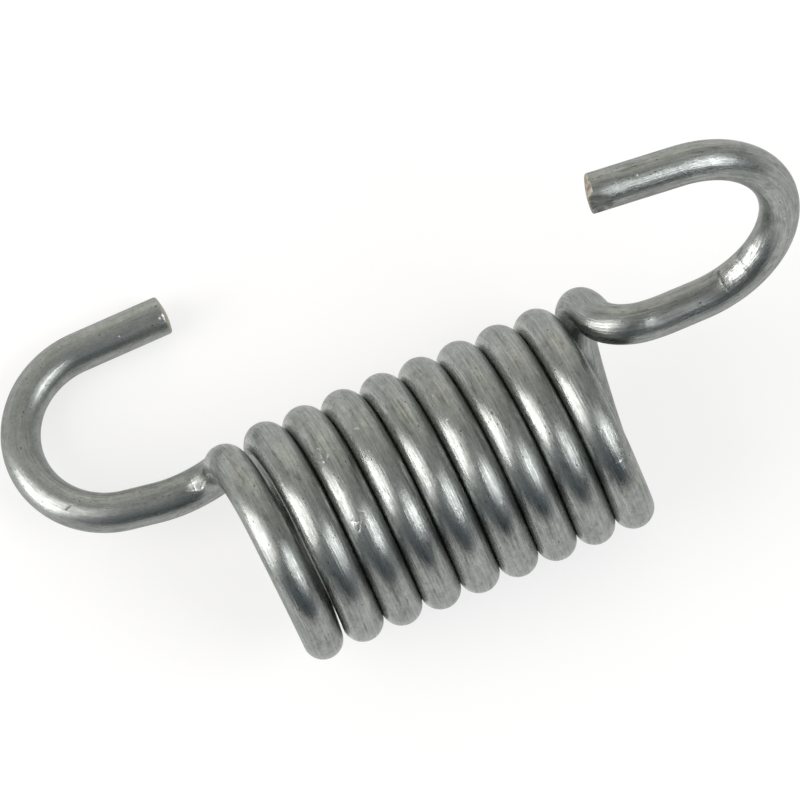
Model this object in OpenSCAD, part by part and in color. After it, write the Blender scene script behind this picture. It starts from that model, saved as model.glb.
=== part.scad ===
// Extension spring with an open side hook at each end, wound from one length of round wire.
// The coil axis lies along X. The spring lies on z = 0, on its coil and on the far leg of
// hook A, with the middle of its footprint over the origin.
// The wire is described as a wire former makes it: each step rolls the wire about its own
// axis and then bends it, so each stretch is a straight cylinder or an arc of a torus that
// leaves the one before along the same tangent.

/* [Wire] */
// Diameter of the round wire
wire_d = 4; // [2:0.1:4.2]

/* [Coil] */
// Diameter of the coil, measured at the middle of the wire
coil_mean_d = 20; // [18:0.5:30]
// Turns from hook A to hook B, with the opened turn at each end
coil_turns = 9.1125; // [4:0.0025:20]
// Gap between turns that are wound close
close_gap = 0.12; // [0.05:0.01:2]

/* [Opened end turns] */
// Gap beside the first turn, next to hook A
open_gap_a = 0.5; // [0.1:0.05:3]
// Gap beside the front half of the last turn
open_gap_front_b = 0.22; // [0.1:0.02:3]
// Gap beside the back half of the last turn, where it leans out to hook B
open_gap_back_b = 1.7; // [0.1:0.05:4]
// How far the back half of the first turn springs out past the coil
spread_back_a = 0.05; // [-0.4:0.05:1]
// How far the front half of the first turn springs out past the coil
spread_front_a = -0.2; // [-0.4:0.05:1]
// How far the back half of the last turn springs out past the coil
spread_back_b = 0.15; // [-0.4:0.05:1]

/* [Hook A] */
// Roll of the wire before the sharp bend that takes it out of the coil
leave_roll_angle_a = 88; // [80:0.5:100]
// Radius of that sharp bend, at the middle of the wire
leave_radius_a = 4.4; // [4:0.1:6]
// Angle of that sharp bend
leave_bend_angle_a = 84; // [75:0.5:95]
// Roll of the wire that sets the plane of the hook
hook_roll_angle_a = 104.5; // [90:0.5:120]
// Radius of the gentle curve at the foot of the near leg
foot_radius_a = 14; // [8:0.5:30]
// Angle of that gentle curve
foot_bend_angle_a = 12.5; // [5:0.5:20]
// Length of the straight near leg
near_leg_a = 3; // [1:0.1:20]
// Radius of the hook, at the middle of the wire
hook_radius_a = 9.1; // [8:0.1:12]
// Angle of the hook's bend
hook_bend_angle_a = 169; // [150:0.5:175]
// Length of the straight far leg, up to the middle of its cut end
far_leg_a = 9.4; // [4:0.1:16]

/* [Hook B] */
// Roll of the wire before the sharp bend that takes it out of the coil
leave_roll_angle_b = 80.5; // [75:0.5:95]
// Radius of that sharp bend, at the middle of the wire
leave_radius_b = 4.1; // [4:0.1:6]
// Angle of that sharp bend
leave_bend_angle_b = 89.2; // [80:0.2:95]
// Roll of the wire that sets the plane of the hook
hook_roll_angle_b = 112; // [90:0.5:120]
// Radius of the gentle curve at the foot of the near leg
foot_radius_b = 14; // [8:0.5:30]
// Angle of that gentle curve
foot_bend_angle_b = 10.3; // [5:0.1:20]
// Length of the straight near leg
near_leg_b = 3.2; // [1:0.1:20]
// Radius of the hook, at the middle of the wire
hook_radius_b = 10.2; // [8:0.1:12]
// Angle of the hook's bend
hook_bend_angle_b = 171.6; // [150:0.1:175]
// Length of the straight far leg, up to the middle of its cut end
far_leg_b = 9.2; // [4:0.1:16]

/* [Cut ends] */
// Slant of the sheared end of hook A
cut_slant_angle_a = 3; // [0:0.5:20]
// Turn of the longer side of that end about the wire, from the inside of the hook
cut_side_angle_a = 0; // [0:5:180]
// Slant of the sheared end of hook B
cut_slant_angle_b = 6.5; // [0:0.5:20]
// Turn of the longer side of that end about the wire, from the inside of the hook
cut_side_angle_b = 80; // [0:5:180]
// Bevel round the rim of hook A's end
rim_bevel_a = 0.35; // [0.05:0.05:0.5]
// Bevel round the rim of hook B's end
rim_bevel_b = 0.15; // [0.05:0.05:0.5]
// How far the sheared faces bulge
cut_crown = 0.2; // [0.05:0.05:0.5]
// Depth of the flat that the cutter pressed into the end of hook B
pinch_depth = 0.5; // [0.1:0.05:0.6]
// Length of that flat
pinch_length = 1.8; // [1:0.1:4]
// Turn of that flat about the wire, from the inside of the hook
pinch_side_angle = 90; // [0:5:180]

/* [Hidden] */

wire_r = wire_d / 2;
coil_mean_r = coil_mean_d / 2;
turn = 360;
arcs_per_turn = 4;
end_turns = 1;
half_turn = end_turns / 2;
wire_facets = 32;
bend_facets = 96;
// Every other stretch is thinner by nest, and the others run on into it by overlap, so
// that no two round faces coincide where the stretches join
nest = 0.01;
overlap = 0.04;
// Spacing of the points that follow the middle of the wire
sample = 0.5;
// Halvings that find how far the spring rolls before it rests
settle_steps = 24;
// How far the cutting shapes at the ends stand out past the wire
cutter_size = 2 * wire_d;

// Places, as matrices. The wire runs along +Y and bends about a centre on -X.
function moved(v) = [[1, 0, 0, v[0]], [0, 1, 0, v[1]], [0, 0, 1, v[2]], [0, 0, 0, 1]];
function turned_x(a) = [[1, 0, 0, 0], [0, cos(a), -sin(a), 0], [0, sin(a), cos(a), 0], [0, 0, 0, 1]];
function turned_y(a) = [[cos(a), 0, sin(a), 0], [0, 1, 0, 0], [-sin(a), 0, cos(a), 0], [0, 0, 0, 1]];
function turned_z(a) = [[cos(a), -sin(a), 0, 0], [sin(a), cos(a), 0, 0], [0, 0, 1, 0], [0, 0, 0, 1]];

// A step is [roll, bend radius, bend angle, roll after]. A straight one is [0, 0, length, 0].
function along(step, share) =
  step[1] == 0
  ? moved([0, step[2] * share, 0])
  : moved([-step[1], 0, 0]) * turned_z(step[2] * share) * moved([step[1], 0, 0]);
function after(place, step) = place * turned_y(step[0]) * along(step, 1) * turned_y(step[3]);
function places(steps, start) = [
  for (i = 0, place = start; i < len(steps); place = after(place, steps[i]), i = i + 1)
    place * turned_y(steps[i][0])
];
function step_length(step) = step[1] == 0 ? step[2] : step[1] * step[2] * PI / 180;

// Places along the middle of the wire
function middle_line(steps, start) =
  let (spots = places(steps, start))
  [
    for (i = [0:len(steps) - 1])
      let (count = ceil(step_length(steps[i]) / sample))
      for (k = [0:count])
        spots[i] * along(steps[i], k / count)
  ];
// How far the wire reaches along one axis: its middle, and its round section seen aslant
function reach(line, axis, side) = [
  for (spot = line)
    spot[axis][3] + side * wire_r * sqrt(max(0, 1 - spot[axis][1] ^ 2))
];

// A helix as equal arcs, each brought from the one before by the same screw motion, so
// that their ends lie on the helix and share their tangents: [slope, steps]
function helix(turns, mean_r, gap) =
  let (
    count = max(1, round(turns * arcs_per_turn)),
    half = turn * turns / count / 2,
    rise = (wire_d + gap) * turns / count,
    tilt = atan(rise / (2 * mean_r * sin(half))),
    half_bend = atan(tan(half) * cos(tilt)),
    slope = asin(cos(half_bend) * sin(tilt)),
    radius = mean_r * cos(half) / (cos(half_bend) * cos(tilt) ^ 2),
    twist = acos(sin(tilt) ^ 2 * cos(2 * half) + cos(tilt) ^ 2)
  )
  [slope, [for (i = [1:count]) [twist / 2, radius, 2 * half_bend, twist / 2]]];

close_coil = helix(coil_turns - 2 * end_turns, coil_mean_r, close_gap);
first_turn = concat(
  helix(half_turn, coil_mean_r + spread_back_a, open_gap_a)[1],
  helix(half_turn, coil_mean_r + spread_front_a, open_gap_a)[1]
);
last_turn = concat(
  helix(half_turn, coil_mean_r, open_gap_front_b)[1],
  helix(half_turn, coil_mean_r + spread_back_b, open_gap_back_b)[1]
);
hook_a = [
  [leave_roll_angle_a, leave_radius_a, leave_bend_angle_a, 0],
  [hook_roll_angle_a, foot_radius_a, foot_bend_angle_a, 0],
  [0, 0, near_leg_a, 0],
  [0, hook_radius_a, hook_bend_angle_a, 0],
  [0, 0, far_leg_a, 0]
];
hook_b = [
  [leave_roll_angle_b, leave_radius_b, leave_bend_angle_b, 0],
  [hook_roll_angle_b, foot_radius_b, foot_bend_angle_b, 0],
  [0, 0, near_leg_b, 0],
  [0, hook_radius_b, hook_bend_angle_b, 0],
  [0, 0, far_leg_b, 0]
];

// The wire leaves the close coil at both ends: back through the first turn to hook A, and
// on through the last turn to hook B
steps_a = concat(first_turn, hook_a);
steps_b = concat(close_coil[1], last_turn, hook_b);
z_to_x = [[0, 0, 1, 0], [1, 0, 0, 0], [0, 1, 0, 0], [0, 0, 0, 1]];
coil_start = z_to_x * moved([coil_mean_r, 0, 0]) * turned_x(close_coil[0]);
line_a = middle_line(steps_a, coil_start * turned_x(180));
line_b = middle_line(steps_b, coil_start);

// How far the spring rolls about its axis before hook A comes down level with the coil
first_turn_points = len(middle_line(first_turn, coil_start));
hook_line = [for (i = [first_turn_points:len(line_a) - 1]) line_a[i]];
coil_line = concat([for (i = [0:first_turn_points - 1]) line_a[i]], line_b);
function lowest(line, roll) = min([for (spot = line) spot[1][3] * sin(roll) + spot[2][3] * cos(roll)]);
function settled(low, high, steps) =
  let (middle = (low + high) / 2)
  steps == 0 ? middle
  : lowest(hook_line, middle) < lowest(coil_line, middle) ? settled(middle, high, steps - 1)
  : settled(low, middle, steps - 1);
tip_a = line_a[len(line_a) - 1];
hook_angle = atan2(tip_a[2][3], tip_a[1][3]);
rest_roll = settled(-turn / 4 - hook_angle, -hook_angle, settle_steps);
rolled_line = [for (spot = concat(line_a, line_b)) turned_x(rest_roll) * spot];
low = [for (axis = [0:2]) min(reach(rolled_line, axis, -1))];
high = [for (axis = [0:2]) max(reach(rolled_line, axis, 1))];
rest = moved([-(low[0] + high[0]) / 2, -(low[1] + high[1]) / 2, -low[2]]) * turned_x(rest_roll);
start_a = rest * coil_start * turned_x(180);
start_b = rest * coil_start;

module stretch(step, thinner) {
  r = thinner ? wire_r - nest : wire_r;
  extra = thinner ? 0 : overlap;
  if (step[1] == 0) {
    translate([0, -extra, 0])
      rotate([-90, 0, 0])
        cylinder(r = r, h = step[2] + 2 * extra, $fn = wire_facets);
  } else {
    extra_bend = extra / step[1] * 180 / PI;
    translate([-step[1], 0, 0])
      rotate([0, 0, -extra_bend])
        rotate_extrude(angle = step[2] + 2 * extra_bend, $fn = bend_facets)
          translate([step[1], 0])
            circle(r = r, $fn = wire_facets);
  }
}

// What the cutter takes off the end of the wire: all past a slanted face that bulges a
// little, with a bevel at 45 degrees round the rim
module shear(length, slant_angle, side_angle, bevel) {
  face_r = wire_r - bevel;
  crown_r = (face_r ^ 2 + cut_crown ^ 2) / (2 * cut_crown);
  bevel_cone = cutter_size / 4;
  translate([0, length, 0])
    rotate([0, side_angle, 0])
      rotate([0, 0, -slant_angle])
        rotate([-90, 0, 0])
          difference() {
            translate([0, 0, -bevel_cone / 2])
              cylinder(r = wire_d, h = cutter_size, $fn = wire_facets);
            intersection() {
              translate([0, 0, -bevel_cone])
                cylinder(
                  r1 = face_r + bevel_cone,
                  r2 = face_r - 2 * cut_crown,
                  h = bevel_cone + 2 * cut_crown,
                  $fn = wire_facets
                );
              translate([0, 0, cut_crown - crown_r])
                sphere(r = crown_r, $fn = bend_facets);
            }
          }
}

// The flat that the cutter pressed into the wire beside the cut
module pinch(length) {
  translate([0, length, 0])
    rotate([0, pinch_side_angle, 0])
      translate([-(wire_r - pinch_depth), 0, 0])
        rotate([0, 0, -atan(pinch_depth / pinch_length)])
          translate([-cutter_size, -cutter_size / 2, -cutter_size / 2])
            cube(cutter_size);
}

// One run of the wire. What the cutter takes off its far end is given as children.
module wire(steps, start, thin) {
  spots = places(steps, start);
  last = len(steps) - 1;
  for (i = [0:last - 1])
    multmatrix(spots[i])
      stretch(steps[i], i % 2 == thin);
  multmatrix(spots[last])
    difference() {
      stretch([0, 0, steps[last][2] + wire_d, 0], last % 2 == thin);
      children();
    }
}

module spring() {
  color("silver") {
    wire(steps_a, start_a, 0)
      shear(far_leg_a, cut_slant_angle_a, cut_side_angle_a, rim_bevel_a);
    wire(steps_b, start_b, 1) {
      shear(far_leg_b, cut_slant_angle_b, cut_side_angle_b, rim_bevel_b);
      pinch(far_leg_b);
    }
  }
}

spring();
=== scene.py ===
"""Extension spring with an open side hook at each end, dressed and lit.

One wire is formed round a coil axis along X: a circle is extruded along the same list of
forming steps that the wire was bent by, so each stretch is straight or one arc.
"""

import logging
import math
from collections.abc import Callable
from dataclasses import dataclass, field
from enum import Enum

import bmesh
import bpy
import numpy as np
from mathutils import Matrix, Vector
from mathutils.kdtree import KDTree


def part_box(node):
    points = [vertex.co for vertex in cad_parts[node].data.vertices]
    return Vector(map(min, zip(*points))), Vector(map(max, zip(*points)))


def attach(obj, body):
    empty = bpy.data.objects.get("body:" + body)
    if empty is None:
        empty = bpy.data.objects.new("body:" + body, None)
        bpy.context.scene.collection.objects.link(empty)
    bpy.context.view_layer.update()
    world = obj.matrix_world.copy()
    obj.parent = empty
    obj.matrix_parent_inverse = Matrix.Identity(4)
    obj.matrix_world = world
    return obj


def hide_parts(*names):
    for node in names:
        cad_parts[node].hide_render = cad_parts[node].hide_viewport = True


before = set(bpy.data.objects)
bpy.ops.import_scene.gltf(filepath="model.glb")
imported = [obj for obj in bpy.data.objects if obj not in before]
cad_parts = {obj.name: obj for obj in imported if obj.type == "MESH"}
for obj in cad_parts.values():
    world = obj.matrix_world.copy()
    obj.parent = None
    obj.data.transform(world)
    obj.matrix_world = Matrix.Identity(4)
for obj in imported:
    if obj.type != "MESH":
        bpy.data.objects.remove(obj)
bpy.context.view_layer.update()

log = logging.getLogger("spring")

MM = 0.001
NODE = "spring"
BODY = "root"
PLACE_ATTRIBUTE = "wire_place"
LAY_ATTRIBUTE = "wire_lay"
# Holds wear, painted light and painted shade for each point.
WEAR_LIGHT_SHADE_ATTRIBUTE = "wire_wear_light_shade"

# Share of a tool mark's half length over which each of its ends fades.
MARK_END = 0.3
# How steeply it falls off across its width.
MARK_FALL = 1.5

Value = float | bpy.types.NodeSocket
Colour = tuple[float, float, float, float]
# Lower and upper bound of a value, and what it becomes at each.
Bounds = tuple[float, float, float, float]


class End(Enum):
    """Which way the wire runs on from the start of the close coil."""

    A = "a"
    B = "b"


@dataclass(frozen=True)
class Step:
    """One forming step: the wire is rolled about itself, bent, and rolled again.

    Angles are in degrees. A step with no bend radius is straight, and its amount is a length.
    """

    roll: float
    radius: float
    amount: float
    roll_after: float = 0.0

    @property
    def length(self) -> float:
        """Length along the middle of the wire, in metres."""
        return self.amount if self.radius == 0 else self.radius * math.radians(self.amount)

    def at(self, share: float) -> Matrix:
        """Place along the step, from its start to a share of it."""
        if self.radius == 0:
            return Matrix.Translation((0, self.amount * share, 0))
        turn = Matrix.Rotation(math.radians(self.amount * share), 4, "Z")
        there, back = (Matrix.Translation((x, 0, 0)) for x in (-self.radius, self.radius))
        return there @ turn @ back


@dataclass(frozen=True)
class HookSizes:
    """Sizes of one hook, from the sharp bend out of the coil to the cut end."""

    leave_roll: float
    leave_radius: float
    leave_bend: float
    hook_roll: float
    foot_radius: float
    foot_bend: float
    near_leg: float
    hook_radius: float
    hook_bend: float
    far_leg: float

    def steps(self) -> list[Step]:
        """Forming steps of the hook."""
        return [
            Step(self.leave_roll, self.leave_radius, self.leave_bend),
            Step(self.hook_roll, self.foot_radius, self.foot_bend),
            Step(0, 0, self.near_leg),
            Step(0, self.hook_radius, self.hook_bend),
            Step(0, 0, self.far_leg),
        ]


HOOK_A = HookSizes(
    leave_roll=88,
    leave_radius=4.4 * MM,
    leave_bend=84,
    hook_roll=104.5,
    foot_radius=14 * MM,
    foot_bend=12.5,
    near_leg=3 * MM,
    hook_radius=9.1 * MM,
    hook_bend=169,
    far_leg=9.4 * MM,
)
HOOK_B = HookSizes(
    leave_roll=80.5,
    leave_radius=4.1 * MM,
    leave_bend=89.2,
    hook_roll=112,
    foot_radius=14 * MM,
    foot_bend=10.3,
    near_leg=3.2 * MM,
    hook_radius=10.2 * MM,
    hook_bend=171.6,
    far_leg=9.2 * MM,
)


@dataclass(frozen=True)
class CoilSizes:
    """Sizes of the wire and the coil, with the opened turn at each end."""

    wire_r: float = 2.0 * MM
    mean_r: float = 10.0 * MM
    turns: float = 9.1125
    close_gap: float = 0.12 * MM
    open_gap_a: float = 0.5 * MM
    open_gap_front_b: float = 0.22 * MM
    open_gap_back_b: float = 1.7 * MM
    spread_back_a: float = 0.05 * MM
    spread_front_a: float = -0.2 * MM
    spread_back_b: float = 0.15 * MM
    end_turns: float = 1.0
    arcs_per_turn: int = 4

    def helix(self, turns: float, mean_r: float, gap: float) -> tuple[float, list[Step]]:
        """A helix as equal arcs, each brought from the one before by the same screw motion.

        Args:
            turns: Number of turns.
            mean_r: Radius to the middle of the wire.
            gap: Gap between neighbouring turns.

        Returns:
            The slope of the wire at its start, in degrees, and the forming steps.
        """
        count = max(1, round(turns * self.arcs_per_turn))
        half = math.radians(360 * turns / count / 2)
        rise = (2 * self.wire_r + gap) * turns / count
        tilt = math.atan(rise / (2 * mean_r * math.sin(half)))
        half_bend = math.atan(math.tan(half) * math.cos(tilt))
        slope = math.asin(math.cos(half_bend) * math.sin(tilt))
        radius = mean_r * math.cos(half) / (math.cos(half_bend) * math.cos(tilt) ** 2)
        twist = math.acos(math.sin(tilt) ** 2 * math.cos(2 * half) + math.cos(tilt) ** 2)
        half_twist = math.degrees(twist) / 2
        step = Step(half_twist, radius, math.degrees(2 * half_bend), half_twist)
        return math.degrees(slope), [step] * count

    def close_coil(self) -> tuple[float, list[Step]]:
        """The turns that are wound close."""
        return self.helix(self.turns - 2 * self.end_turns, self.mean_r, self.close_gap)

    def first_turn(self) -> list[Step]:
        """The opened turn next to hook A, from the coil outwards."""
        half = self.end_turns / 2
        back = self.helix(half, self.mean_r + self.spread_back_a, self.open_gap_a)[1]
        front = self.helix(half, self.mean_r + self.spread_front_a, self.open_gap_a)[1]
        return back + front

    def last_turn(self) -> list[Step]:
        """The opened turn next to hook B, from the coil outwards."""
        half = self.end_turns / 2
        front = self.helix(half, self.mean_r, self.open_gap_front_b)[1]
        back = self.helix(half, self.mean_r + self.spread_back_b, self.open_gap_back_b)[1]
        return front + back


@dataclass(frozen=True)
class CutSizes:
    """How the cutter left one end of the wire.

    The plating starts to go at a share of the bevel behind the face, and is gone after
    another share.
    """

    slant: float
    side: float
    bevel: float
    crown: float = 0.2 * MM
    bevel_rings: int = 4
    crown_rings: int = 5
    bare_from: float = 0.7
    bare_fade: float = 0.4

    def profile(self, wire_r: float) -> list[tuple[float, float]]:
        """Rings of the rim and the crowned face: the radius and the height of each.

        Args:
            wire_r: Radius of the wire.

        Returns:
            The rings from the rim inwards. Heights are from the plane of the cut.
        """
        rings = []
        for i in range(1, self.bevel_rings + 1):
            corner = math.pi / 2 * i / self.bevel_rings
            radius = wire_r - self.bevel * (1 - math.cos(corner))
            rings.append((radius, self.bevel * (math.sin(corner) - 1)))
        for i in range(1, self.crown_rings + 1):
            share = 1 - i / (self.crown_rings + 1)
            rings.append(((wire_r - self.bevel) * share, self.crown * (1 - share**2)))
        return rings


@dataclass(frozen=True)
class PinchSizes:
    """The flat that the cutter pressed into an end beside the cut, and the lip it pushed up.

    The lip is highest at one side of the flat, and has a share of that height in its middle.
    """

    depth: float = 0.5 * MM
    length: float = 1.8 * MM
    side: float = 90.0
    grime_and_shade: float = 0.55
    lip: float = 0.42 * MM
    lip_reach: float = 0.9 * MM
    lip_half: float = 1.2 * MM
    lip_middle: float = 0.55
    plane_slack: float = 0.01 * MM


CUTS = {
    End.A: CutSizes(slant=3.0, side=0.0, bevel=0.35 * MM),
    End.B: CutSizes(slant=6.5, side=80.0, bevel=0.15 * MM),
}


@dataclass(frozen=True)
class Mark:
    """A place where a forming tool pressed, scraped or soiled the wire.

    The middle of the mark is given in millimetres along the wire from the start of the close
    coil, and in degrees around it. Its turn is measured from the direction of the wire. A few
    marks are painted light on shaded places, and painted shade over reflections.
    """

    along: float
    around: float
    length: float
    width: float
    turn: float = 0.0
    depth: float = 0.0
    shine: float = 0.0
    grime_and_shade: float = 0.0

    def share(self, along: np.ndarray, around: np.ndarray, wire_r: float) -> np.ndarray:
        """How strongly the mark is felt at places on the wire.

        Args:
            along: Places along the wire, in millimetres.
            around: Places around the wire, in degrees.
            wire_r: Radius of the wire, in millimetres.

        Returns:
            A value from 0, outside the mark, to 1, in its middle.
        """
        ahead = along - self.along
        aside = np.radians((around - self.around + 180) % 360 - 180) * wire_r
        turn = math.radians(self.turn)
        lengthwise = np.abs(ahead * math.cos(turn) + aside * math.sin(turn)) / (self.length / 2)
        crosswise = (aside * math.cos(turn) - ahead * math.sin(turn)) / (self.width / 2)
        ends = np.clip((1 - lengthwise) / MARK_END, 0, 1)
        return ends * ends * (3 - 2 * ends) * np.exp(-MARK_FALL * crosswise**2)


# The crinkle at the foot of hook A, with painted shade that dims the reflection in its crease and painted
# light that lightens the shaded valley beside it.
CRINKLE_MARKS = (
    Mark(-67.25, 298, 1.7, 0.28, 94, depth=0.045, shine=0.6),
    Mark(-65.2, 280.5, 2.6, 0.32, 9, depth=0.045, shine=0.5),
    Mark(-67.7, 279, 3.0, 0.16, -15, depth=-0.03, shine=0.6),
    # Painted shade: darkens the crinkle so that its crease reflects the lamp less brightly.
    Mark(-66.2, 292, 2.2, 1.4, 30, depth=0.01, grime_and_shade=0.42),
    # Painted light: lightens the shaded valley between hook A's leg and the first turn.
    Mark(-60.0, 288, 5.0, 3.4, 15, shine=0.75),
)

# The notch in the bend of hook A, two flecks on it and the worn spot at its end.
HOOK_A_MARKS = (
    Mark(-80.45, 286.5, 0.9, 0.18, 60, depth=0.04, grime_and_shade=0.9),
    Mark(-106.2, 342, 0.3, 0.25, 0, depth=-0.02, shine=0.7),
    Mark(-97.1, 357, 0.3, 0.25, 0, depth=-0.02, shine=0.7),
    Mark(-110.9, 341, 0.6, 0.5, 0, depth=0.03, shine=0.8),
)

# Two pressed lines round hook B's near leg, with the bright patch the tool rubbed and dirt beside them,
# and painted shade that dulls the lamp's reflection along the leg.
PATCH_MARKS = (
    Mark(526.8, 127, 2.3, 0.14, 82, depth=0.035, grime_and_shade=0.8),
    Mark(526.5, 127, 2.1, 0.12, 82, depth=-0.03, shine=0.7),
    Mark(529.67, 133, 2.0, 0.13, 99, depth=0.03, grime_and_shade=0.9),
    Mark(529.95, 131, 1.8, 0.12, 99, depth=-0.02, shine=0.6),
    # Painted shade, broken up by grain: dulls the lamp's reflection along the near leg.
    Mark(522.0, 118, 9.0, 2.4, 0, grime_and_shade=0.32),
    Mark(528.3, 136, 3.2, 2.2, 0, depth=0.05, shine=0.8),
    Mark(531.5, 138, 3.4, 1.9, -6, depth=0.02, shine=0.35),
    Mark(531.0, 150, 1.8, 0.35, 0, grime_and_shade=0.7),
    Mark(527.9, 158, 2.6, 0.2, 4, grime_and_shade=0.5),
    Mark(526.75, 163, 1.1, 0.45, 70, grime_and_shade=0.9),
    Mark(527.3, 126, 1.0, 0.30, 80, grime_and_shade=0.7),
    Mark(527.6, 112, 0.9, 0.25, 55, grime_and_shade=0.7),
    Mark(529.8, 108, 1.3, 0.30, 30, grime_and_shade=0.9),
    Mark(528.5, 100, 0.9, 0.25, 10, grime_and_shade=0.7),
    Mark(530.5, 173, 1.4, 0.35, 15, grime_and_shade=0.8),
    Mark(531.7, 136, 0.9, 0.25, 12, grime_and_shade=0.7),
    Mark(532.8, 122, 1.5, 0.28, -10, grime_and_shade=0.7),
    Mark(526.6, 96, 1.5, 0.30, 40, grime_and_shade=0.6),
)

# Flecks and dents near hook B's cut end.
HOOK_B_MARKS = (
    Mark(558.7, 7, 0.3, 0.25, 0, depth=-0.02, shine=0.9),
    Mark(561.7, 55, 0.45, 0.3, 30, depth=0.04, grime_and_shade=0.7),
    Mark(561.2, 80, 0.5, 0.3, 80, depth=0.03, shine=0.5),
)

# The bright spot on the last turn, and scratches and flecks on the others.
COIL_MARKS = (
    Mark(463.3, 205, 0.9, 0.7, 0, depth=-0.03, shine=1.0),
    Mark(73.9, 305, 0.45, 0.2, 40, depth=0.02, shine=1.0),
    Mark(74.25, 302.5, 0.35, 0.18, 80, depth=-0.02, shine=1.0),
    Mark(74.7, 299.5, 0.5, 0.18, -30, depth=0.02, shine=1.0),
    Mark(75.2, 299.5, 0.3, 0.2, 0, depth=-0.02, shine=1.0),
    Mark(75.0, 318, 0.5, 0.18, -35, depth=0.02, shine=1.0),
    Mark(81.5, 309.5, 1.6, 0.15, -42, depth=0.02, shine=1.0),
    Mark(81.1, 302, 0.9, 0.13, 70, depth=0.02, shine=0.9),
    Mark(80.5, 330.5, 0.8, 0.14, 55, depth=0.01, shine=0.7),
    Mark(136.5, 281, 0.6, 0.18, 60, depth=-0.02, shine=0.9),
    Mark(264.95, 232, 0.35, 0.22, 0, depth=-0.02, shine=0.9),
    Mark(262.4, 230.6, 0.3, 0.2, 0, depth=-0.02, shine=0.8),
    Mark(327.4, 287, 0.35, 0.25, 0, depth=-0.02, shine=0.9),
    Mark(273.5, 264.4, 0.35, 0.22, 0, depth=-0.02, shine=0.8),
    Mark(329.0, 215, 0.35, 0.3, 0, depth=0.02, grime_and_shade=0.9),
)

TOOL_MARKS = CRINKLE_MARKS + HOOK_A_MARKS + PATCH_MARKS + HOOK_B_MARKS + COIL_MARKS


def read_points(data: bpy.types.Mesh) -> np.ndarray:
    """Points of a mesh as an array with one row each."""
    points = np.empty(3 * len(data.vertices))
    data.vertices.foreach_get("co", points)
    return points.reshape(-1, 3)


@dataclass(frozen=True)
class TouchSizes:
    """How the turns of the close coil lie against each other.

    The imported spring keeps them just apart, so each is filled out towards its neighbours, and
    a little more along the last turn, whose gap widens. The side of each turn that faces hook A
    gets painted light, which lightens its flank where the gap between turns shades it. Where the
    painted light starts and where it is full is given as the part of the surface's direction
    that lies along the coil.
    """

    fill: float = 0.064 * MM
    fill_last: float = 0.05 * MM
    fade: float = 3.0 * MM
    sharpness: int = 4
    flank_light: float = 0.52
    flank_light_from: float = 0.6
    flank_light_full: float = 0.9
    flank_light_half_turns: float = 1.8


@dataclass(frozen=True)
class Placed:
    """Where the points of the wire lie, one row each.

    The place is (along, side, side) in millimetres. The lay is the way that the wire runs,
    outward is the way from its middle, and around is the angle about it, in degrees.
    """

    place: np.ndarray
    lay: np.ndarray
    outward: np.ndarray
    around: np.ndarray


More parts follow.
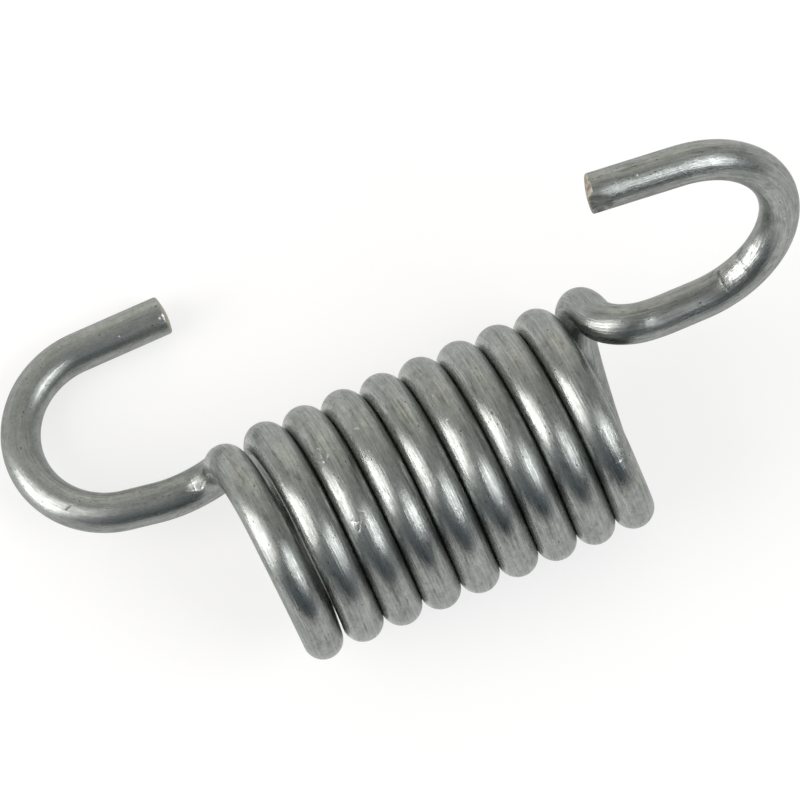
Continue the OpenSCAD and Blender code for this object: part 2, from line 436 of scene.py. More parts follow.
@dataclass
class SpringWire:
    """The whole spring as one swept wire, with its cut ends and tool marks."""

    coil: CoilSizes = field(default_factory=CoilSizes)
    hooks: dict[End, HookSizes] = field(default_factory=lambda: {End.A: HOOK_A, End.B: HOOK_B})
    cuts: dict[End, CutSizes] = field(default_factory=lambda: CUTS)
    pinch: PinchSizes = field(default_factory=PinchSizes)
    marks: tuple[Mark, ...] = TOOL_MARKS
    rest_roll: float = -1.963
    section_points: int = 48
    coil_ring_gap: float = 0.7 * MM
    hook_ring_gap: float = 0.4 * MM
    leg_ring_gap: float = 1.6 * MM
    touch: TouchSizes = field(default_factory=TouchSizes)
    mark_edge: float = 0.11 * MM
    mark_reach: float = 0.55
    refine_rounds: int = 5
    flat_rim_points: int = 8
    flat_level: float = 0.99
    flat_cuts: int = 3
    end_reach: float = 2.0
    end_wear_reach: float = 1.5
    sharp_angle: float = 40.0
    name: str = "spring_wire"

    def __post_init__(self) -> None:
        """Works out the forming steps of both runs and where they start."""
        slope, close = self.coil.close_coil()
        self.coil_steps = {End.A: self.coil.first_turn(), End.B: close + self.coil.last_turn()}
        self.steps = {end: self.coil_steps[end] + self.hooks[end].steps() for end in End}
        z_to_x = Matrix(((0, 0, 1, 0), (1, 0, 0, 0), (0, 1, 0, 0), (0, 0, 0, 1)))
        start = z_to_x @ Matrix.Translation((self.coil.mean_r, 0, 0))
        start = Matrix.Rotation(math.radians(self.rest_roll), 4, "X") @ start
        start = start @ Matrix.Rotation(math.radians(slope), 4, "X")
        self.start = self._settled(start)
        self._rings = [(0.0, self.start)]

    def _run_start(self, end: End, start: Matrix) -> Matrix:
        """Start place of a run; the one to hook A sets off the other way."""
        return start @ Matrix.Rotation(math.pi, 4, "X") if end is End.A else start

    def places(self, end: End, start: Matrix) -> list[Matrix]:
        """Places at which the forming steps of a run begin, rolled ready for their bends."""
        place = self._run_start(end, start)
        found = []
        for step in self.steps[end]:
            place = place @ Matrix.Rotation(math.radians(step.roll), 4, "Y")
            found.append(place)
            place = place @ step.at(1) @ Matrix.Rotation(math.radians(step.roll_after), 4, "Y")
        return found

    def _settled(self, start: Matrix) -> Matrix:
        """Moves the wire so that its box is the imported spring's box."""
        low, high = Vector((1.0,) * 3), Vector((-1.0,) * 3)
        for end in End:
            for place, step in zip(self.places(end, start), self.steps[end]):
                count = math.ceil(step.length / self.coil_ring_gap)
                for i in range(count + 1):
                    spot = place @ step.at(i / count)
                    run = spot.col[1]
                    for axis in range(3):
                        spread = self.coil.wire_r * math.sqrt(max(0.0, 1 - run[axis] ** 2))
                        low[axis] = min(low[axis], spot.col[3][axis] - spread)
                        high[axis] = max(high[axis], spot.col[3][axis] + spread)
        cad_low, cad_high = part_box(NODE)
        middle = (cad_low + cad_high - low - high) / 2
        return Matrix.Translation((middle.x, middle.y, cad_low.z - low.z)) @ start

    def build(self) -> bpy.types.Object:
        """Builds the wire's mesh.

        Returns:
            The finished object, at the origin.
        """
        wire = self._start_ring()
        for end in (End.B, End.A):
            self._sweep(wire, end)
            self._cut(wire, end)
        self._pinch(wire)
        bpy.ops.mesh.select_all(action="SELECT")
        bpy.ops.mesh.normals_make_consistent(inside=False)
        bpy.ops.object.mode_set(mode="OBJECT")
        self._refine(wire)
        self._dress(wire)
        bpy.ops.object.shade_smooth_by_angle(angle=math.radians(self.sharp_angle))
        return wire

    def _start_ring(self) -> bpy.types.Object:
        """Adds the round section at the start of the close coil, and opens it for editing."""
        bpy.ops.object.select_all(action="DESELECT")
        facing = self.start @ Matrix.Rotation(-math.pi / 2, 4, "X")
        bpy.ops.mesh.primitive_circle_add(
            vertices=self.section_points,
            radius=self.coil.wire_r,
            fill_type="NOTHING",
            location=facing.to_translation(),
            rotation=facing.to_euler(),
        )
        bpy.ops.object.transform_apply(location=True, rotation=True, scale=True)
        wire = bpy.context.active_object
        wire.name = wire.data.name = self.name
        bpy.ops.object.mode_set(mode="EDIT")
        bpy.ops.mesh.select_mode(type="VERT")
        return wire

    def _select(self, wire: bpy.types.Object, wanted: Callable[[bmesh.types.BMVert], bool]) -> None:
        """Selects the points of the wire that fit a test, and nothing else."""
        bpy.ops.mesh.select_all(action="DESELECT")
        mesh = bmesh.from_edit_mesh(wire.data)
        for vert in mesh.verts:
            vert.select = wanted(vert)
        mesh.select_flush(True)
        bmesh.update_edit_mesh(wire.data)

    def _ring_gap(self, end: End, number: int) -> float:
        """Gap between the rings of a forming step, finer where the wire leaves the coil."""
        if number < len(self.coil_steps[end]) - 1:
            return self.coil_ring_gap
        return self.hook_ring_gap if self.steps[end][number].radius else self.leg_ring_gap

    def _sweep(self, wire: bpy.types.Object, end: End) -> None:
        """Extrudes the round section along one run of the wire.

        Args:
            wire: The object whose first ring is the start of both runs.
            end: The run to follow.
        """
        self._select(wire, lambda vert: vert.index < self.section_points)
        sign = 1 if end is End.B else -1
        run = 0.0
        for number, (place, step) in enumerate(zip(self.places(end, self.start), self.steps[end])):
            count = math.ceil(step.length / self._ring_gap(end, number))
            if step.radius:
                bpy.ops.mesh.spin(
                    steps=count,
                    angle=-math.radians(step.amount),
                    center=place @ Vector((-step.radius, 0, 0)),
                    axis=place.to_3x3() @ Vector((0, 0, 1)),
                )
            else:
                last = number == len(self.steps[end]) - 1
                move = (place.to_3x3() @ Vector((0, 1, 0))) * (step.length / count)
                for i in range(count):
                    # The last ring goes past the cut.
                    stretch = 2 if last and i == count - 1 else 1
                    bpy.ops.mesh.extrude_region_move(TRANSFORM_OT_translate={"value": move * stretch})
            for i in range(1, count + 1):
                self._rings.append((sign * (run + step.length * i / count), place @ step.at(i / count)))
            run += step.length

    def tip(self, end: End) -> Matrix:
        """Place of the middle of a cut end, with the wire running on along +Y."""
        return self.places(end, self.start)[-1] @ self.steps[end][-1].at(1)

    def sheared(self, end: End) -> Matrix:
        """Place of a cut end, turned with the slant of its cut."""
        sizes = self.cuts[end]
        side = Matrix.Rotation(math.radians(sizes.side), 4, "Y")
        return self.tip(end) @ side @ Matrix.Rotation(-math.radians(sizes.slant), 4, "Z")

    def _cut(self, wire: bpy.types.Object, end: End) -> None:
        """Shears the end of a hook off on the slant, rounds its rim and closes it.

        Args:
            wire: The object, whose run ends past the cut.
            end: The end to cut.
        """
        sizes = self.cuts[end]
        face = self.sheared(end)
        out = face.to_3x3() @ Vector((0, 1, 0))
        middle = face.to_translation()
        self._select(wire, lambda vert: (vert.co - middle).length < self.end_reach * self.coil.wire_r)
        bpy.ops.mesh.bisect(plane_co=middle - out * sizes.bevel, plane_no=out, clear_outer=True)
        ring_r, height = self.coil.wire_r, -sizes.bevel
        for next_r, next_height in sizes.profile(self.coil.wire_r):
            move = {"value": out * (next_height - height)}
            bpy.ops.mesh.extrude_region_move(TRANSFORM_OT_translate=move)
            centre = middle + out * next_height
            bpy.ops.transform.resize(value=(next_r / ring_r,) * 3, center_override=centre)
            ring_r, height = next_r, next_height
        bpy.ops.mesh.extrude_region_move(TRANSFORM_OT_translate={"value": out * (sizes.crown - height)})
        bpy.ops.mesh.merge(type="CENTER")

    def pinched(self) -> tuple[Vector, Vector]:
        """Plane of the flat beside hook B's cut: a point in it, and the way that it faces."""
        side = self.tip(End.B) @ Matrix.Rotation(math.radians(self.pinch.side), 4, "Y")
        slope = math.atan(self.pinch.depth / self.pinch.length)
        faced = side.to_3x3() @ Matrix.Rotation(-slope, 3, "Z")
        return side @ Vector((self.pinch.depth - self.coil.wire_r, 0, 0)), faced @ Vector((-1, 0, 0))

    def _pinch(self, wire: bpy.types.Object) -> None:
        """Presses the flat beside hook B's cut, and gives it points for its rough surface."""
        point, facing = self.pinched()
        self._select(wire, lambda vert: (vert.co - point).length < self.end_reach * self.coil.wire_r)
        bpy.ops.mesh.bisect(plane_co=point, plane_no=facing, use_fill=True, clear_outer=True)
        bpy.ops.mesh.select_mode(type="FACE")
        bpy.ops.mesh.select_all(action="DESELECT")
        mesh = bmesh.from_edit_mesh(wire.data)
        for flat in mesh.faces:
            level = abs(flat.normal.dot(facing)) > self.flat_level
            flat.select = level and len(flat.verts) > self.flat_rim_points
        bmesh.update_edit_mesh(wire.data)
        bpy.ops.mesh.poke()
        bpy.ops.mesh.subdivide(number_cuts=self.flat_cuts)
        bpy.ops.mesh.select_mode(type="VERT")

    def _refine(self, wire: bpy.types.Object) -> None:
        """Adds points where the tool marks go, until the edges there are short."""
        spots = [(np.array(self._spot(mark)), mark) for mark in self.marks]
        data = wire.data
        for _ in range(self.refine_rounds):
            points = read_points(data)
            ends = np.empty(2 * len(data.edges), dtype=np.int32)
            data.edges.foreach_get("vertices", ends)
            first, second = points[ends[0::2]], points[ends[1::2]]
            line = second - first
            length = np.linalg.norm(line, axis=1)
            near = np.zeros(len(length), dtype=bool)
            for spot, mark in spots:
                reach = self.mark_reach * max(mark.length, mark.width) * MM + self.mark_edge
                share = np.clip(((spot - first) * line).sum(1) / length**2, 0, 1)
                near |= np.linalg.norm(first + line * share[:, None] - spot, axis=1) < reach
            near &= length > self.mark_edge
            if not near.any():
                break
            bpy.ops.object.mode_set(mode="EDIT")
            bpy.ops.mesh.select_mode(type="EDGE")
            bpy.ops.mesh.select_all(action="DESELECT")
            bpy.ops.object.mode_set(mode="OBJECT")
            data.edges.foreach_set("select", near)
            bpy.ops.object.mode_set(mode="EDIT")
            bpy.ops.mesh.subdivide(number_cuts=1)
            bpy.ops.mesh.select_mode(type="VERT")
            bpy.ops.object.mode_set(mode="OBJECT")

    def _carried(self) -> list[tuple[float, Vector, Vector, Vector]]:
        """Rings in order along the wire, with sides carried along it without twist.

        Returns:
            For each ring, its distance along the wire, its middle, the direction of the wire
            and one side. The sides are carried both ways from the start of the close coil.
        """
        found = []
        for sign in (-1, 1):
            side = self.start.to_3x3() @ Vector((1, 0, 0))
            run = [ring for ring in self._rings if ring[0] * sign >= 0]
            run.sort(key=lambda ring: abs(ring[0]))
            chain = []
            for along, spot in run:
                lay = spot.to_3x3() @ Vector((0, 1, 0)) * (sign if along else 1)
                side = (side - lay * side.dot(lay)).normalized()
                chain.append((along, spot.to_translation(), lay, side))
            found = chain[:0:-1] if sign < 0 else found + chain
        return found

    def _spot(self, mark: Mark) -> Vector:
        """Point on the wire's surface in the middle of a mark."""
        along, middle, lay, side = min(self._carried(), key=lambda ring: abs(ring[0] / MM - mark.along))
        turn = math.radians(mark.around)
        out = side * math.cos(turn) + side.cross(lay) * math.sin(turn)
        return middle + lay * (mark.along * MM - along) + out * self.coil.wire_r

    def _placed(self, points: np.ndarray) -> Placed:
        """Finds where points lie on the wire, from the ring nearest to each."""
        rings = self._carried()
        tree = KDTree(len(rings))
        for slot, ring in enumerate(rings):
            tree.insert(ring[1], slot)
        tree.balance()
        slots = [tree.find(point)[1] for point in points]
        along, middle, lay, side = (np.array([rings[slot][part] for slot in slots]) for part in range(4))
        other = np.cross(side, lay)
        out = points - middle
        ahead, first, second = ((out * way).sum(1) for way in (lay, side, other))
        place = np.stack([along + ahead, first, second], axis=1) / MM
        outward = side * place[:, 1:2] + other * place[:, 2:3]
        outward /= np.hypot(place[:, 1:2], place[:, 2:3]).clip(1e-6)
        return Placed(place, lay, outward, np.degrees(np.arctan2(place[:, 2], place[:, 1])))

    def _touch(self, points: np.ndarray, wear_light_and_shade: np.ndarray, placed: Placed) -> None:
        """Fills the turns of the close coil out until they touch, and paints light on one side of each.
        """
        sizes = self.touch
        fade = sizes.fade / MM
        along, facing = placed.place[:, 0], placed.outward[:, 0]
        past = along - sum(step.length for step in self.coil.close_coil()[1]) / MM
        half_turn = math.pi * self.coil.mean_r / MM
        within = np.clip(np.minimum(along, half_turn - past) / fade, 0, 1)
        fill = sizes.fill + sizes.fill_last * np.clip(past / half_turn, 0, 1)
        points += placed.outward * (fill * within * facing**sizes.sharpness)[:, None]
        # Painted light: the flank of each turn that faces hook A is lightened where the gap between turns
        # shades it.
        coiled = np.clip(np.minimum(along, sizes.flank_light_half_turns * half_turn - past) / fade, 0, 1)
        turned = (-facing - sizes.flank_light_from) / (sizes.flank_light_full - sizes.flank_light_from)
        wear_light_and_shade[:, 0] = sizes.flank_light * coiled * np.clip(turned, 0, 1)

    def _press(self, points: np.ndarray, wear_light_and_shade: np.ndarray, placed: Placed) -> None:
        """Presses the tool marks in, shines or soils the wire there, and lays the painted light and
        painted shade of a few marks.
        """
        for mark in self.marks:
            share = mark.share(placed.place[:, 0], placed.around, self.coil.wire_r / MM)
            points -= placed.outward * (share * mark.depth * MM)[:, None]
            wear_light_and_shade[:, 0] = np.maximum(wear_light_and_shade[:, 0], share * mark.shine)
            wear_light_and_shade[:, 1] = np.maximum(wear_light_and_shade[:, 1], share * mark.grime_and_shade)

    def _near(self, points: np.ndarray, middle: Vector) -> np.ndarray:
        """Which points are close to a place at a cut end."""
        return np.linalg.norm(points - np.array(middle), axis=1) < self.end_wear_reach * self.coil.wire_r

    def _bare(self, points: np.ndarray, wear_light_and_shade: np.ndarray) -> None:
        """Takes the plating off the cut faces."""
        for end, sizes in self.cuts.items():
            face = self.sheared(end)
            middle = face.to_translation()
            beyond = (points - np.array(middle)) @ np.array(face.to_3x3().col[1])
            bare = (beyond + sizes.bare_from * sizes.bevel) / (sizes.bare_fade * sizes.bevel)
            wear_light_and_shade[:, 2] = np.maximum(wear_light_and_shade[:, 2], np.clip(bare, 0, 1) * self._near(points, middle))

    def _raise_lip(self, points: np.ndarray, wear_light_and_shade: np.ndarray) -> None:
        """Soils the flat beside hook B's cut, and pushes its rim out to a lip."""
        sizes = self.pinch
        point, facing = self.pinched()
        above = (points - np.array(point)) @ np.array(facing)
        flat = self._near(points, point) * (above > -sizes.plane_slack)
        wear_light_and_shade[:, 1] = np.maximum(wear_light_and_shade[:, 1], sizes.grime_and_shade * flat)
        tip = self.tip(End.B)
        aside, run = (np.array(tip.to_3x3().col[column]) for column in range(2))
        behind = (np.array(tip.to_translation()) - points) @ run
        across = (points - np.array(point)) @ aside
        lip = sizes.lip * np.clip(1 - behind / sizes.lip_reach, 0, 1)
        lip *= np.clip(sizes.lip_middle + (1 - sizes.lip_middle) * across / sizes.lip_half, 0, 1)
        points += run * (lip * flat)[:, None]

    def _dress(self, wire: bpy.types.Object) -> None:
        """Shapes the surface and stores what the finish needs at each point.

        The place on the wire lets a pattern follow it with no seam. The wear, light and shade is
        (shine, grime, cut), each from 0 to 1: shine holds burnish and painted light, and grime holds
        dirt and painted shade.

        Args:
            wire: The object, in object mode.
        """
        data = wire.data
        points = read_points(data)
        placed = self._placed(points)
        wear_light_and_shade = np.zeros((len(points), 3))
        self._touch(points, wear_light_and_shade, placed)
        self._press(points, wear_light_and_shade, placed)
        self._bare(points, wear_light_and_shade)
        self._raise_lip(points, wear_light_and_shade)
        data.vertices.foreach_set("co", points.ravel())
        stored = {PLACE_ATTRIBUTE: placed.place, LAY_ATTRIBUTE: placed.lay, WEAR_LIGHT_SHADE_ATTRIBUTE: wear_light_and_shade}
        for name, values in stored.items():
            layer = data.attributes.new(name, "FLOAT_VECTOR", "POINT")
            layer.data.foreach_set("vector", values.astype(np.float32).ravel())
        data.update()


@dataclass(frozen=True)
class Pattern:
    """A noise pattern on the wire.

    The stretch is how fine it is along the wire and both ways across it, in parts a
    millimetre. The tone gives the values between which it changes the colour, and what it
    adds at each. The relief is its share of the height of the surface.
    """

    stretch: tuple
    scale: float
    detail: float
    roughness: float
    offset: tuple = (0, 0, 0)
    tone: Bounds = (0.0, 1.0, 0.0, 1.0)
    relief: float = 0.0


@dataclass(frozen=True)
class Specks:
    """Scattered specks, in some of the cells of a pattern only.

    The scale is in cells a millimetre, the radius is a share of a cell, and clean is the
    share of the cells that have no speck. The mask is how another pattern shrinks them.
    """

    stretch: tuple
    scale: float
    radius: float
    clean: float
    strength: float
    offset: tuple = (0, 0, 0)
    mask: Bounds = (0.42, 0.55, 0.3, 1.0)
    edge: float = 0.03


class Nodes:
    """Short calls for building the nodes of a material or a world."""

    def __init__(self, owner: bpy.types.Material | bpy.types.World) -> None:
        """Empties the nodes of a material or a world.

        Args:
            owner: The material or world to build.
        """
        owner.use_nodes = True
        self.tree = owner.node_tree
        self.tree.nodes.clear()

    def add(self, kind: str, inputs: dict | None = None, **settings) -> bpy.types.Node:
        """Adds a node.

        Args:
            kind: Blender's name for the node.
            inputs: Values or output sockets, by the input's name or number.
            **settings: Properties of the node.

        Returns:
            The node.
        """
        node = self.tree.nodes.new(kind)
        for key, value in settings.items():
            setattr(node, key, value)
        for key, value in (inputs or {}).items():
            if isinstance(value, bpy.types.NodeSocket):
                self.tree.links.new(value, node.inputs[key])
            else:
                node.inputs[key].default_value = value
        return node

    def math(self, operation: str, first: Value, second: Value) -> bpy.types.NodeSocket:
        """Adds a Math node and gives its result."""
        return self.add("ShaderNodeMath", {0: first, 1: second}, operation=operation).outputs[0]

    def times(self, first: Value, second: Value) -> bpy.types.NodeSocket:
        """Multiplies two values."""
        return self.math("MULTIPLY", first, second)

    def total(self, first: Value, *others: Value) -> bpy.types.NodeSocket:
        """Adds values up."""
        for other in others:
            first = self.math("ADD", first, other)
        return first

    def stretched(self, place: bpy.types.NodeSocket, scale: tuple, offset: tuple) -> bpy.types.NodeSocket:
        """Scales and moves a place, so that a pattern is finer one way than another."""
        inputs = {"Vector": place, "Scale": scale, "Location": offset}
        return self.add("ShaderNodeMapping", inputs, vector_type="POINT").outputs[0]

    def noise(self, place: bpy.types.NodeSocket, pattern: Pattern) -> bpy.types.NodeSocket:
        """Adds a noise pattern and gives its value."""
        inputs = {
            "Vector": self.stretched(place, pattern.stretch, pattern.offset),
            "Scale": pattern.scale,
            "Detail": pattern.detail,
            "Roughness": pattern.roughness,
        }
        return self.add("ShaderNodeTexNoise", inputs).outputs[0]

    def ranged(self, value: Value, bounds: Bounds) -> bpy.types.NodeSocket:
        """Maps a value to another range and clamps it."""
        inputs = {0: value} | {i + 1: bound for i, bound in enumerate(bounds)}
        return self.add("ShaderNodeMapRange", inputs).outputs[0]

    def mixed(
        self, factor: Value, first: Colour | Value, second: Colour | Value, blend: str = "MIX"
    ) -> bpy.types.NodeSocket:
        """Mixes two colours."""
        inputs = {0: factor, 6: first, 7: second}
        return self.add("ShaderNodeMix", inputs, data_type="RGBA", blend_type=blend).outputs[2]

    def specks(
        self, place: bpy.types.NodeSocket, sizes: Specks, mask: bpy.types.NodeSocket
    ) -> bpy.types.NodeSocket:
        """Adds scattered specks.

        Args:
            place: Place on the wire.
            sizes: Sizes of the specks.
            mask: Pattern that shrinks them on parts of the wire.

        Returns:
            1 in a speck and 0 outside.
        """
        spot = self.stretched(place, sizes.stretch, sizes.offset)
        inputs = {"Vector": spot, "Scale": sizes.scale, "Randomness": 1.0}
        cells = self.add("ShaderNodeTexVoronoi", inputs)
        chosen = self.add("ShaderNodeSeparateColor", {0: cells.outputs["Color"]}).outputs[0]
        size = self.ranged(chosen, (sizes.clean, 1.0, 0.0, sizes.radius))
        size = self.times(size, self.ranged(mask, sizes.mask))
        inside = self.math("SUBTRACT", size, cells.outputs["Distance"])
        return self.ranged(inside, (0.0, sizes.edge, 0.0, 1.0))


@dataclass(frozen=True)
class PlatedWireFinish:
    """Dull zinc plating on drawn steel, with fine lines along the wire.

    Patterns lie in the wire's own place, in millimetres. Two of the bounds make the lines of
    hook A fainter and its wire a little duller, by the distance along the wire.
    """

    name: str = "plated_wire"
    pale: Colour = (0.43, 0.445, 0.425, 1.0)
    dark: Colour = (0.16, 0.17, 0.163, 1.0)
    warm: Colour = (0.30, 0.255, 0.215, 1.0)
    pit: Colour = (0.05, 0.05, 0.045, 1.0)
    # The pale burnish colour also makes painted light, and the dark soiled colour painted shade.
    burnish_and_light_colour: Colour = (0.80, 0.80, 0.78, 1.0)
    soiled_and_shaded: Colour = (0.06, 0.058, 0.05, 1.0)
    cut_pale: Colour = (0.43, 0.405, 0.355, 1.0)
    cut_brown: Colour = (0.22, 0.155, 0.11, 1.0)
    metallic: float = 1.0
    anisotropy: float = 0.25
    quarter_turn: float = 0.25
    edge_tint: Colour = (0.78, 0.79, 0.78, 1.0)
    fine: Pattern = Pattern((0.16, 4.5, 4.5), 1.0, 5.0, 0.65, tone=(0.36, 0.64, -0.2, 0.2), relief=1.0)
    hair: Pattern = Pattern((0.5, 11.0, 11.0), 1.0, 3.0, 0.6, tone=(0.34, 0.66, -0.1, 0.1), relief=0.35)
    broad: Pattern = Pattern((0.05, 1.1, 1.1), 1.0, 4.0, 0.6, tone=(0.38, 0.62, 0.0, 0.16))
    cloud: Pattern = Pattern((1, 1, 1), 0.9, 7.0, 0.68, tone=(0.38, 0.62, 0.0, 0.24), relief=0.5)
    grain: Pattern = Pattern((0.6, 1.0, 1.0), 5.0, 4.0, 0.7, tone=(0.3, 0.7, -0.16, 0.16), relief=0.26)
    stain: Pattern = Pattern((0.4, 1.7, 1.7), 1.0, 7.0, 0.75, (11, 5, 2), tone=(0.54, 0.63, 0.0, 0.5))
    rust: Pattern = Pattern((1, 1, 1), 1.3, 4.0, 0.7, tone=(0.46, 0.56, 0.0, 1.0))
    pits: Specks = Specks((0.55, 1.0, 1.0), 3.2, 0.25, 0.25, strength=0.85)
    flecks: Specks = Specks((0.5, 1.0, 1.0), 0.62, 0.09, 0.55, strength=0.8, offset=(7, 3, 5))
    base_tone: float = 0.3
    hook_a_lines: Bounds = (-78.0, -58.0, 0.45, 1.0)
    hook_a_rough: Bounds = (-78.0, -58.0, 0.05, 0.0)
    shine_grain: Bounds = (0.42, 0.54, 0.2, 1.0)
    shine_solid: Bounds = (0.82, 0.95, 0.0, 1.0)
    grime_grain: Bounds = (0.38, 0.62, 0.55, 1.0)
    fine_rough: Bounds = (0.3, 0.7, 0.1, -0.07)
    cloud_rough: Bounds = (0.3, 0.7, 0.33, 0.22)
    shine_smooths: float = 0.1
    dirt_roughens: float = 0.3
    pit_relief: float = 0.6
    relief_height: float = 0.04 * MM

    def material(self) -> bpy.types.Material:
        """Builds the material."""
        material = bpy.data.materials.new(self.name)
        nodes = Nodes(material)
        names = (PLACE_ATTRIBUTE, LAY_ATTRIBUTE, WEAR_LIGHT_SHADE_ATTRIBUTE)
        read = [nodes.add("ShaderNodeAttribute", attribute_name=name) for name in names]
        place, lay, wear_light_and_shade = (node.outputs["Vector"] for node in read)
        wear_light_and_shade = nodes.add("ShaderNodeSeparateXYZ", {0: wear_light_and_shade})
        shine, grime_and_shade, cut = (wear_light_and_shade.outputs[axis] for axis in range(3))
        along = nodes.add("ShaderNodeSeparateXYZ", {0: place}).outputs[0]
        lined = nodes.ranged(along, self.hook_a_lines)
        patterns = (self.fine, self.hair, self.broad, self.cloud, self.grain)
        fine, hair, broad, cloud, grain = (nodes.noise(place, pattern) for pattern in patterns)
        pits = nodes.specks(place, self.pits, cloud)

        lines = nodes.total(nodes.ranged(fine, self.fine.tone), nodes.ranged(hair, self.hair.tone))
        tone = nodes.total(
            nodes.times(lines, lined),
            self.base_tone,
            nodes.ranged(broad, self.broad.tone),
            nodes.ranged(cloud, self.cloud.tone),
            nodes.ranged(grain, self.grain.tone),
        )
        colour = nodes.mixed(tone, self.dark, self.pale)
        stained = nodes.times(nodes.ranged(nodes.noise(place, self.stain), self.stain.tone), lined)
        colour = nodes.mixed(stained, colour, self.warm, "MULTIPLY")
        colour = nodes.mixed(nodes.times(pits, self.pits.strength), colour, self.pit)
        # The shine channel mixes towards the pale colour: real burnish on tool marks and flecks, and
        # painted light on the flanks between turns and in hook A's valley.
        burnish_and_light = nodes.ranged(grain, self.shine_grain)
        burnish_and_light = nodes.math("MAXIMUM", burnish_and_light, nodes.ranged(shine, self.shine_solid))
        flecks = nodes.times(nodes.specks(place, self.flecks, broad), self.flecks.strength)
        bright = nodes.math("MAXIMUM", flecks, nodes.times(shine, burnish_and_light))
        colour = nodes.mixed(bright, colour, self.burnish_and_light_colour)
        # The grime channel mixes towards the dark colour: real dirt on most marks, and painted shade over
        # reflections in hook A's crinkle and along hook B's near leg.
        soil_and_shade = nodes.times(grime_and_shade, nodes.ranged(grain, self.grime_grain))
        colour = nodes.mixed(soil_and_shade, colour, self.soiled_and_shaded)
        rust = nodes.ranged(nodes.noise(place, self.rust), self.rust.tone)
        rust = nodes.times(rust, nodes.math("GREATER_THAN", along, 0.0))
        colour = nodes.mixed(cut, colour, nodes.mixed(rust, self.cut_pale, self.cut_brown))

        rough = nodes.total(
            nodes.ranged(fine, self.fine_rough),
            nodes.ranged(cloud, self.cloud_rough),
            nodes.ranged(along, self.hook_a_rough),
            nodes.times(shine, -self.shine_smooths),
            nodes.times(nodes.math("MAXIMUM", grime_and_shade, cut), self.dirt_roughens),
        )
        lines = nodes.total(nodes.times(fine, self.fine.relief), nodes.times(hair, self.hair.relief))
        height = nodes.total(
            nodes.times(lines, lined),
            nodes.times(grain, self.grain.relief),
            nodes.times(cloud, self.cloud.relief),
            nodes.times(pits, -self.pit_relief),
        )
        relief = {"Height": height, "Strength": 1.0, "Distance": self.relief_height}
        bump = nodes.add("ShaderNodeBump", relief)
        shader = nodes.add(
            "ShaderNodeBsdfPrincipled",
            {
                "Base Color": colour,
                "Metallic": self.metallic,
                "Roughness": rough,
                "Anisotropic": self.anisotropy,
                "Anisotropic Rotation": self.quarter_turn,
                "Specular Tint": self.edge_tint,
                "Tangent": lay,
                "Normal": bump.outputs[0],
            },
        )
        nodes.add("ShaderNodeOutputMaterial", {"Surface": shader.outputs[0]})
        return material


@dataclass(frozen=True)
class Floor:
    """Plain pale floor that keeps the spring's shadow.

    The lift is a glow that only the camera and reflections see.
    """

    half_size: float = 3.0
    colour: Colour = (0.33, 0.325, 0.318, 1.0)
    lift: float = 0.67
    name: str = "floor"

    def build(self) -> bpy.types.Object:
        """Builds the floor and its material."""
        bpy.ops.object.select_all(action="DESELECT")
        bpy.ops.mesh.primitive_plane_add(size=2 * self.half_size)
        floor = bpy.context.active_object
        floor.name = floor.data.name = self.name
        material = bpy.data.materials.new(self.name)
        nodes = Nodes(material)
        rays = nodes.add("ShaderNodeLightPath")
        seen = nodes.math("MAXIMUM", rays.outputs["Is Camera Ray"], rays.outputs["Is Glossy Ray"])
        seen = nodes.math("MAXIMUM", seen, rays.outputs["Is Transmission Ray"])
        glow = nodes.add("ShaderNodeEmission", {"Strength": nodes.times(seen, self.lift)})
        matt = nodes.add("ShaderNodeBsdfDiffuse", {"Color": self.colour})
        both = nodes.add("ShaderNodeAddShader", {0: glow.outputs[0], 1: matt.outputs[0]})
        nodes.add("ShaderNodeOutputMaterial", {"Surface": both.outputs[0]})
        floor.data.materials.append(material)
        return floor


@dataclass(frozen=True)
class SoftBox:
    """A rectangular lamp, placed by its direction from the spring.

    Tilt is measured from the camera's line of sight, and bearing round it, from the
    picture's right towards its top.
    """

    name: str
    tilt: float
    bearing: float
    distance: float
    width: float
    height: float
    radiance: float
    colour: tuple


@dataclass(frozen=True)
class Camera:
    """The photograph's camera, nearly straight above the spring and far from it."""

    look: tuple = (-2.334 * MM, -0.067 * MM, 13.43 * MM)
    azimuth: float = -24.894
    elevation: float = 80.055
    roll: float = 1.914
    distance: float = 1.2
    lens: float = 549.2
    sensor: float = 36.0
    clip: tuple = (0.05, 20.0)

    def turn(self) -> Matrix:
        """The camera's turn: its right, its top and its back as columns."""
        bearing = Matrix.Rotation(math.radians(self.azimuth), 4, "Z")
        lean = Matrix.Rotation(math.radians(90 - self.elevation), 4, "X")
        return bearing @ lean @ Matrix.Rotation(math.radians(self.roll), 4, "Z")

    def direction(self, tilt: float, bearing: float) -> Vector:
        """Direction from the spring, by its tilt and bearing as a lamp's.

        Args:
            tilt: Degrees from the camera's line of sight.
            bearing: Degrees round it, from the picture's right towards its top.

        Returns:
            A vector of length 1.
        """
        tilt, bearing = math.radians(tilt), math.radians(bearing)
        aside = math.sin(tilt)
        local = (aside * math.cos(bearing), aside * math.sin(bearing), math.cos(tilt))
        return self.turn().to_3x3() @ Vector(local)

    def build(self) -> bpy.types.Object:
        """Adds the camera and makes it the scene's."""
        data = bpy.data.cameras.new("camera")
        data.lens, data.sensor_width = self.lens, self.sensor
        data.clip_start, data.clip_end = self.clip
        camera = bpy.data.objects.new("camera", data)
        bpy.context.scene.collection.objects.link(camera)
        back = self.turn().col[2].to_3d()
        camera.matrix_world = Matrix.Translation(Vector(self.look) + back * self.distance) @ self.turn()
        bpy.context.scene.camera = camera
        return camera


LAMPS = (
    SoftBox("main_lamp", 40, 182, 1.0, 0.64, 0.50, 2.95, (1.0, 0.98, 0.97)),
    SoftBox("low_lamp", 71, 194, 1.0, 0.66, 0.62, 5.5, (1.0, 0.98, 0.97)),
    SoftBox("side_lamp", 43, 357, 1.0, 0.56, 0.64, 4.2, (0.97, 0.98, 1.0)),
)


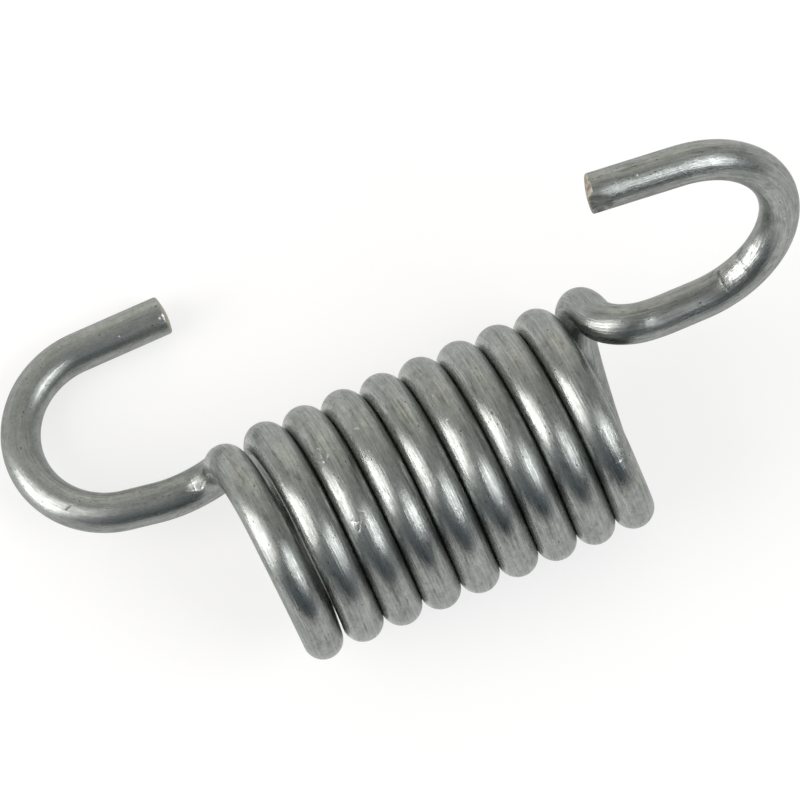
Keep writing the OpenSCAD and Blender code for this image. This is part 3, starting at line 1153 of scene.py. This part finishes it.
@dataclass(frozen=True)
class Room:
    """The light of the room, which is dim on the near side of the picture and bright on the far.

    Each stop is a place from 0, at the dim side, to 1, at the bright side, and the light that
    comes from there. The bearing of the bright side is as a lamp's.
    """

    stops: tuple = (
        (0.02, (0.02, 0.03, 0.045)),
        (0.15, (0.19, 0.22, 0.25)),
        (0.35, (0.33, 0.35, 0.36)),
        (0.50, (0.38, 0.385, 0.38)),
        (0.70, (0.46, 0.465, 0.455)),
        (0.80, (0.58, 0.58, 0.56)),
        (0.93, (0.76, 0.755, 0.72)),
        (1.00, (1.18, 1.15, 1.04)),
    )
    bearing: float = 102
    name: str = "room"

    def build(self, bright: Vector) -> None:
        """Builds the world.

        Args:
            bright: Direction of the bright side.
        """
        world = bpy.data.worlds.new(self.name)
        nodes = Nodes(world)
        away = nodes.add("ShaderNodeTexCoord").outputs["Generated"]
        rise = nodes.add("ShaderNodeVectorMath", {0: away, 1: bright}, operation="DOT_PRODUCT")
        share = nodes.ranged(rise.outputs["Value"], (-1.0, 1.0, 0.0, 1.0))
        ramp = nodes.add("ShaderNodeValToRGB", {0: share})
        marks = ramp.color_ramp.elements
        while len(marks) < len(self.stops):
            marks.new(0.5)
        for mark, (place, colour) in zip(marks, self.stops):
            mark.position = place
            mark.color = (*colour, 1.0)
        light = nodes.add("ShaderNodeBackground", {"Color": ramp.outputs[0]})
        nodes.add("ShaderNodeOutputWorld", {"Surface": light.outputs[0]})
        bpy.context.scene.world = world


@dataclass
class Studio:
    """Camera, lamps, floor and the room's own light."""

    camera: Camera = field(default_factory=Camera)
    floor: Floor = field(default_factory=Floor)
    lamps: tuple = LAMPS
    room: Room = field(default_factory=Room)

    def build(self) -> None:
        """Builds all that lights and frames the spring."""
        self.camera.build()
        self.floor.build()
        for lamp in self.lamps:
            self._lamp(lamp)
        self.room.build(self.camera.direction(90, self.room.bearing))
        bpy.context.scene.view_settings.view_transform = "Standard"
        log.info("studio: %d lamps", len(self.lamps))

    def _lamp(self, box: SoftBox) -> None:
        """Adds one soft box, facing the spring."""
        data = bpy.data.lights.new(box.name, "AREA")
        data.shape = "RECTANGLE"
        data.size, data.size_y = box.width, box.height
        data.color = box.colour
        data.energy = box.radiance * math.pi * box.width * box.height
        lamp = bpy.data.objects.new(box.name, data)
        bpy.context.scene.collection.objects.link(lamp)
        away = self.camera.direction(box.tilt, box.bearing)
        facing = away.to_track_quat("Z", "Y").to_matrix().to_4x4()
        lamp.matrix_world = Matrix.Translation(Vector(self.camera.look) + away * box.distance) @ facing


def main() -> None:
    """Builds the spring, its finish and the studio, in order."""
    logging.basicConfig(level=logging.INFO, format="%(message)s")
    spring = SpringWire()
    wire = spring.build()
    wire.data.materials.clear()
    wire.data.materials.append(PlatedWireFinish().material())
    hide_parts(NODE)
    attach(wire, BODY)
    log.info("%s: %d points, %d faces", wire.name, len(wire.data.vertices), len(wire.data.polygons))
    Studio().build()


if __name__ == "__main__":
    main()
